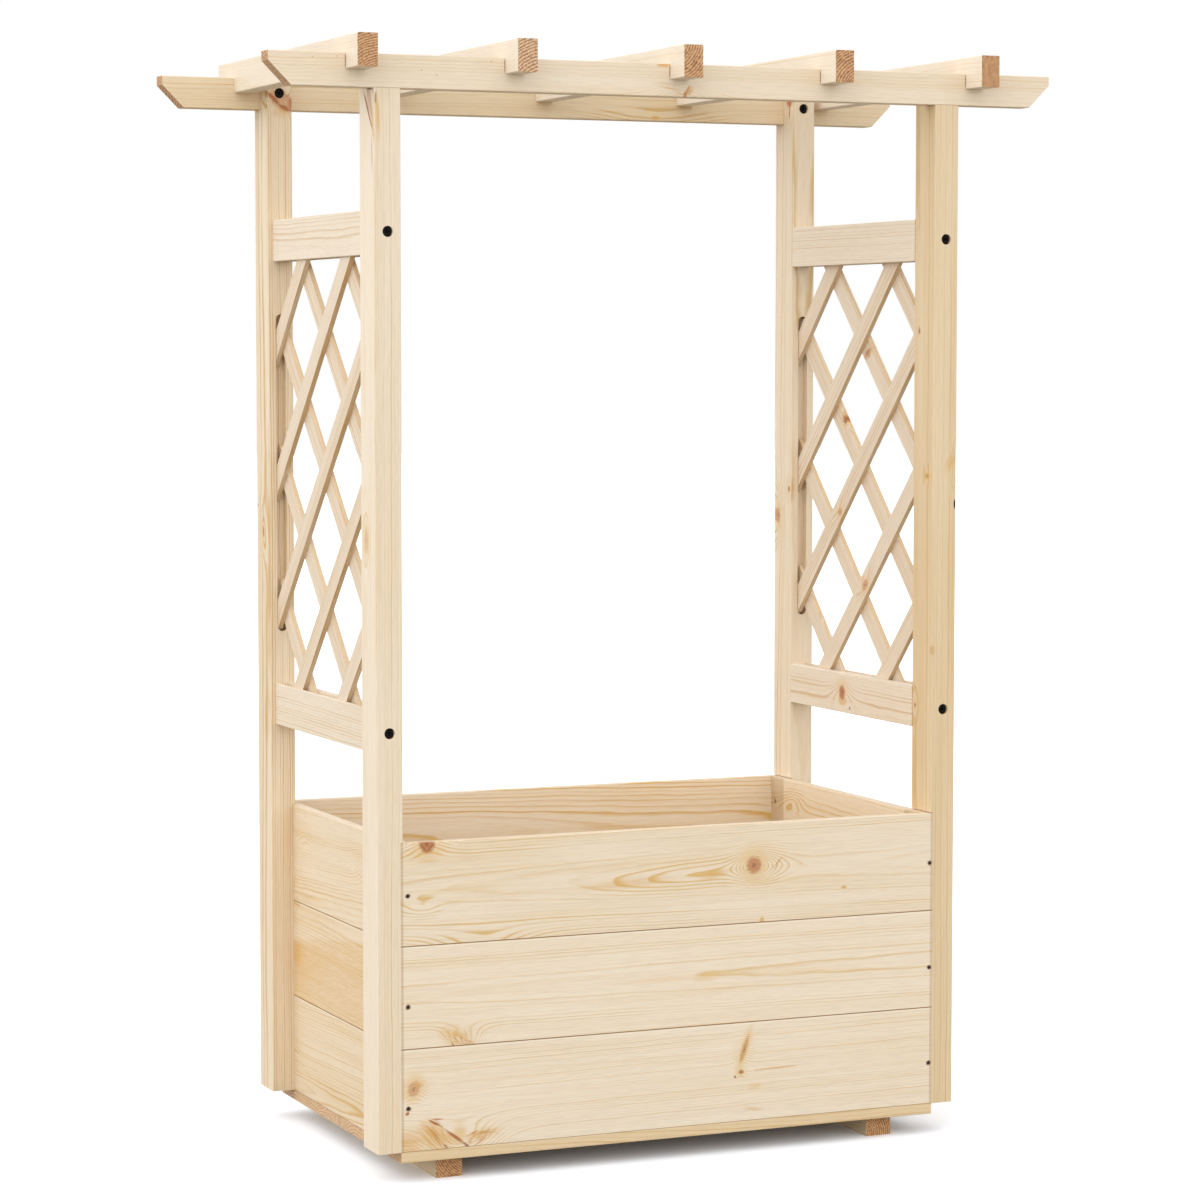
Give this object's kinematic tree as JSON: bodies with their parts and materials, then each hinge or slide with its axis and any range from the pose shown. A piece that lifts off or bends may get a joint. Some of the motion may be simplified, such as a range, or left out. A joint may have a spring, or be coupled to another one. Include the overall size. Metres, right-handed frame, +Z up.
{
  "type": "planter box with trellis arch",
  "caption": "Wooden planter box on low runners with posts at its corners that carry lattice end panels and an open pergola roof for climbing plants and hanging pots.",
  "frame": {"origin": "on the ground, in the middle of the planter", "axes": "+X along the beams to the right, +Y to the rear, +Z up; the front faces -Y"},
  "size_m": [1.1, 0.567, 1.4455],
  "materials": {
    "post_wood": "planed bare softwood, matt",
    "roof_wood": "planed bare softwood, matt",
    "rail_wood": "planed bare softwood, matt",
    "lattice_wood": "planed bare softwood, matt",
    "wall_wood": "planed bare softwood, matt",
    "floor_wood": "planed bare softwood, matt",
    "skid_wood": "planed bare softwood, matt",
    "black_bolt": "black oxide",
    "zinc_screw": "zinc plated",
    "steel_nail": "plain steel"
  },
  "bodies": {
    "root": {"post_front_left": "post_wood", "post_front_right": "post_wood", "beam_front": "roof_wood", "front_board_bottom": "wall_wood", "front_board_middle": "wall_wood", "front_board_top": "wall_wood", "post_rear_left": "post_wood", "post_rear_right": "post_wood", "beam_rear": "roof_wood", "rear_board_bottom": "wall_wood", "rear_board_middle": "wall_wood", "rear_board_top": "wall_wood", "rafter_1": "roof_wood", "rafter_2": "roof_wood", "rafter_3": "roof_wood", "rafter_4": "roof_wood", "rafter_5": "roof_wood", "trellis_rail_bottom_left": "rail_wood", "trellis_rail_top_left": "rail_wood", "lattice_left_rising_1": "lattice_wood", "lattice_left_rising_2": "lattice_wood", "lattice_left_rising_3": "lattice_wood", "lattice_left_rising_4": "lattice_wood", "lattice_left_rising_5": "lattice_wood", "lattice_left_falling_1": "lattice_wood", "lattice_left_falling_2": "lattice_wood", "lattice_left_falling_3": "lattice_wood", "lattice_left_falling_4": "lattice_wood", "lattice_left_falling_5": "lattice_wood", "left_board_bottom": "wall_wood", "left_board_middle": "wall_wood", "left_board_top": "wall_wood", "skid_left": "skid_wood", "trellis_rail_bottom_right": "rail_wood", "trellis_rail_top_right": "rail_wood", "lattice_right_rising_1": "lattice_wood", "lattice_right_rising_2": "lattice_wood", "lattice_right_rising_3": "lattice_wood", "lattice_right_rising_4": "lattice_wood", "lattice_right_rising_5": "lattice_wood", "lattice_right_falling_1": "lattice_wood", "lattice_right_falling_2": "lattice_wood", "lattice_right_falling_3": "lattice_wood", "lattice_right_falling_4": "lattice_wood", "lattice_right_falling_5": "lattice_wood", "right_board_bottom": "wall_wood", "right_board_middle": "wall_wood", "right_board_top": "wall_wood", "skid_right": "skid_wood", "floor_board_1": "floor_wood", "floor_board_2": "floor_wood", "floor_board_3": "floor_wood", "floor_board_4": "floor_wood", "rail_bolts": "black_bolt", "beam_bolts": "black_bolt", "rafter_screws": "zinc_screw", "post_screws": "zinc_screw", "floor_screws": "zinc_screw", "wall_nails": "steel_nail", "lattice_brads": "steel_nail"}
  },
  "joints": []
}
